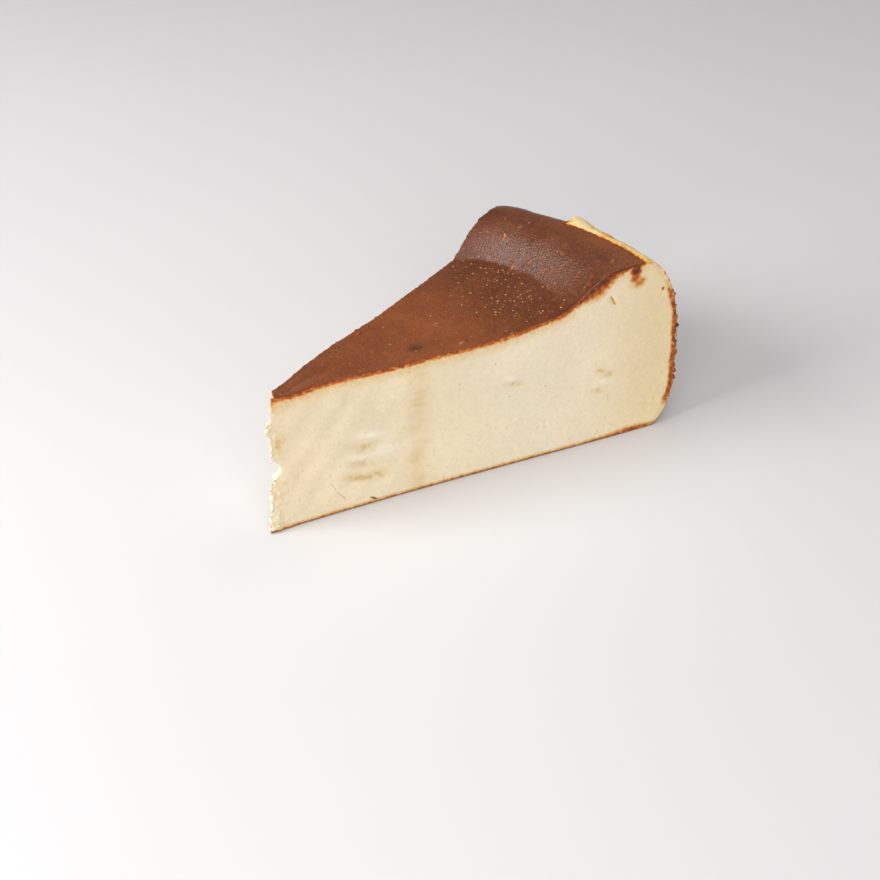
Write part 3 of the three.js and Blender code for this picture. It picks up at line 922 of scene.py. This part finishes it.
def scatter_tree():
    """Small lumps set on a surface where its weight attribute says, each turned and sized by chance."""
    tree = bpy.data.node_groups.new("lumps_on_a_surface", "GeometryNodeTree")
    tree.interface.new_socket("Geometry", in_out="INPUT", socket_type="NodeSocketGeometry")
    for name, kind in SCATTER_INPUTS:
        tree.interface.new_socket(name, in_out="INPUT", socket_type=kind)
    tree.interface.new_socket("Geometry", in_out="OUTPUT", socket_type="NodeSocketGeometry")
    given = add(tree, "NodeGroupInput").outputs

    weight = add(tree, "GeometryNodeInputNamedAttribute", {"Name": given["Weight"]}, data_type="FLOAT")
    spread = add(tree, "GeometryNodeDistributePointsOnFaces", {
        "Mesh": given["Geometry"], "Distance Min": given["Apart"], "Density Max": given["Per square metre"],
        "Density Factor": weight, "Seed": given["Seed"],
    }, distribute_method="POISSON")
    lump = add(tree, "GeometryNodeMeshIcoSphere", {"Radius": 0.5, "Subdivisions": 2})
    size = add(tree, "FunctionNodeRandomValue", {
        "Min": given["Smallest"], "Max": given["Largest"], "Seed": given["Seed"],
    }, data_type="FLOAT")
    scale = add(tree, "ShaderNodeVectorMath", {0: given["Flatness"], "Scale": size}, operation="SCALE")
    spin = add(tree, "FunctionNodeRandomValue", {
        "Min": (0, 0, 0), "Max": (0, 0, 2 * math.pi), "Seed": given["Seed"],
    }, data_type="FLOAT_VECTOR")
    turned = add(tree, "FunctionNodeRotateRotation", {
        "Rotation": spread.outputs["Rotation"], "Rotate By": spin,
    }, rotation_space="LOCAL")
    lumps = add(tree, "GeometryNodeInstanceOnPoints", {
        "Points": spread, "Instance": lump, "Rotation": turned, "Scale": scale,
    })
    down = add(tree, MATH, {0: given["Sunk"], 1: -1.0}, operation="MULTIPLY")
    down = add(tree, "ShaderNodeCombineXYZ", {"Z": down})
    lumps = add(tree, "GeometryNodeTranslateInstances", {
        "Instances": lumps, "Translation": down, "Local Space": True,
    })
    lumps = add(tree, "GeometryNodeRealizeInstances", {"Geometry": lumps})
    rough = add(tree, NOISE, {"Scale": 1 / LUMP_DENTS, "Detail": 1.0})
    rough = add(tree, "ShaderNodeVectorMath", {
        0: rough.outputs["Color"], 1: (0.5, 0.5, 0.5),
    }, operation="SUBTRACT")
    rough = add(tree, "ShaderNodeVectorMath", {0: rough, "Scale": given["Unevenness"]}, operation="SCALE")
    lumps = add(tree, "GeometryNodeSetPosition", {"Geometry": lumps, "Offset": rough})
    lumps = add(tree, "GeometryNodeSetShadeSmooth", {"Geometry": lumps})
    lumps = add(tree, "GeometryNodeSetMaterial", {"Geometry": lumps, "Material": given["Material"]})
    add(tree, "NodeGroupOutput", {"Geometry": lumps})
    return tree


def scattered(name, tree, carrier, values):
    """The lumps that the tree sets on the carrier, as a plain mesh object."""
    piece = bpy.data.objects.new(name, carrier.data.copy())
    bpy.context.collection.objects.link(piece)
    modifier = piece.modifiers.new("lumps", "NODES")
    modifier.node_group = tree
    identifier = {i.name: i.identifier for i in tree.interface.items_tree if i.in_out == "INPUT"}
    for key, value in values.items():
        modifier[identifier[key]] = value
    graph = bpy.context.evaluated_depsgraph_get()
    made = bpy.data.meshes.new_from_object(piece.evaluated_get(graph))
    piece.modifiers.clear()
    piece.data = made
    return piece


# ---- The pieces ----


def dressed(piece):
    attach(piece, "root")


cake = bpy.data.objects.new("slice", slice_mesh())
bpy.context.collection.objects.link(cake)
curd, skin, base = baked_cream_cheese(), burnt_skin(), browned_base()
for material in (curd, skin, base):
    cake.data.materials.append(material)
dressed(cake)
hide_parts("cheesecake_slice")

lumps = scatter_tree()
SCATTERED = {
    "skin_bubbles": {
        "Weight": "bubbly", "Per square metre": 4e5, "Apart": 0.7 * MM, "Smallest": 0.3 * MM,
        "Largest": 0.75 * MM, "Flatness": (1.0, 0.75, 0.45), "Sunk": 0.05 * MM, "Unevenness": 0.15 * MM,
        "Seed": 4, "Material": burst_bubbles(),
    },
    "crust_crumbs": {
        "Weight": "crusty", "Per square metre": 4e5, "Apart": 1.1 * MM, "Smallest": 0.5 * MM,
        "Largest": 1.6 * MM, "Flatness": (1.0, 0.8, 0.6), "Sunk": 0.05 * MM, "Unevenness": 0.7 * MM,
        "Seed": 7, "Material": skin,
    },
    "curd_crumbs": {
        "Weight": "curdled", "Per square metre": 4e5, "Apart": 1.0 * MM, "Smallest": 0.4 * MM,
        "Largest": 1.0 * MM, "Flatness": (1.0, 0.8, 0.5), "Sunk": 0.12 * MM, "Unevenness": 0.4 * MM,
        "Seed": 11, "Material": curd,
    },
    "skin_crumbs": {
        "Weight": "frayed", "Per square metre": 5e5, "Apart": 0.9 * MM, "Smallest": 0.4 * MM,
        "Largest": 0.9 * MM, "Flatness": (1.0, 0.8, 0.6), "Sunk": 0.05 * MM, "Unevenness": 0.4 * MM,
        "Seed": 3, "Material": skin,
    },
}
for name, values in SCATTERED.items():
    dressed(scattered(name, lumps, cake, values))

# ---- Studio ----

FLOOR_SIZE = 4
FLOOR_DROP = 0.0002
SURROUND = 0.18  # strength of the white light from all round
LOOKING_DOWN, LOOKING_ROUND = 38.5, 51.49  # degrees, as the photo was taken

half = FLOOR_SIZE / 2
corners = [(-half, -half), (half, -half), (half, half), (-half, half)]
floor_mesh = bpy.data.meshes.new("floor")
floor_mesh.from_pydata([(x, y, -FLOOR_DROP) for x, y in corners], [], [(0, 1, 2, 3)])
floor = bpy.data.objects.new("floor", floor_mesh)
bpy.context.collection.objects.link(floor)
pale_board, tree = new_material("pale_matt_board")
own = add(tree, "ShaderNodeTexCoord")
fibre = add(tree, NOISE, {"Vector": own.outputs["Object"], "Scale": 6, "Detail": 2})
board = add(tree, RAMP, {"Fac": fibre}, [(0.3, "#CDCBCB"), (0.7, "#D0CECE")])
shader = add(tree, SHADER, {"Base Color": board, "Roughness": 0.6})
add(tree, OUTPUT, {"Surface": shader})
floor_mesh.materials.append(pale_board)

world = bpy.data.worlds.new("studio")
bpy.context.scene.world = world
world.use_nodes = True
world.node_tree.nodes["Background"].inputs["Color"].default_value = (1, 1, 1, 1)
world.node_tree.nodes["Background"].inputs["Strength"].default_value = SURROUND


def softbox(name, towards, away, size, power):
    """A square soft light that looks at the slice from the direction given."""
    data = bpy.data.lights.new(name, "AREA")
    data.shape, data.size, data.energy = "SQUARE", size, power
    lamp = bpy.data.objects.new(name, data)
    x, y, z = np.array(towards) / np.linalg.norm(towards)
    lamp.location = (x * away, y * away, z * away)
    lamp.rotation_euler = (math.acos(z), 0, math.atan2(y, x) + math.pi / 2)
    bpy.context.collection.objects.link(lamp)


softbox("key", (-0.778, 0.314, 0.545), 0.7, 0.4, 5.2)
softbox("top", (0.15, 0.1, 1.0), 1.0, 0.9, 3.6)
softbox("fill", (-0.55, -0.75, 0.75), 1.0, 0.9, 6.9)

camera_data = bpy.data.cameras.new("camera")
camera_data.sensor_width = 36
camera_data.lens = 65.0
camera_data.clip_start = 0.01
camera = bpy.data.objects.new("camera", camera_data)
camera.location = (-0.2139, -0.2645, 0.2707)
camera.rotation_euler = (math.radians(90 - LOOKING_DOWN), 0, math.radians(LOOKING_ROUND - 90))
bpy.context.collection.objects.link(camera)
bpy.context.scene.camera = camera
bpy.context.scene.view_settings.view_transform = "Standard"
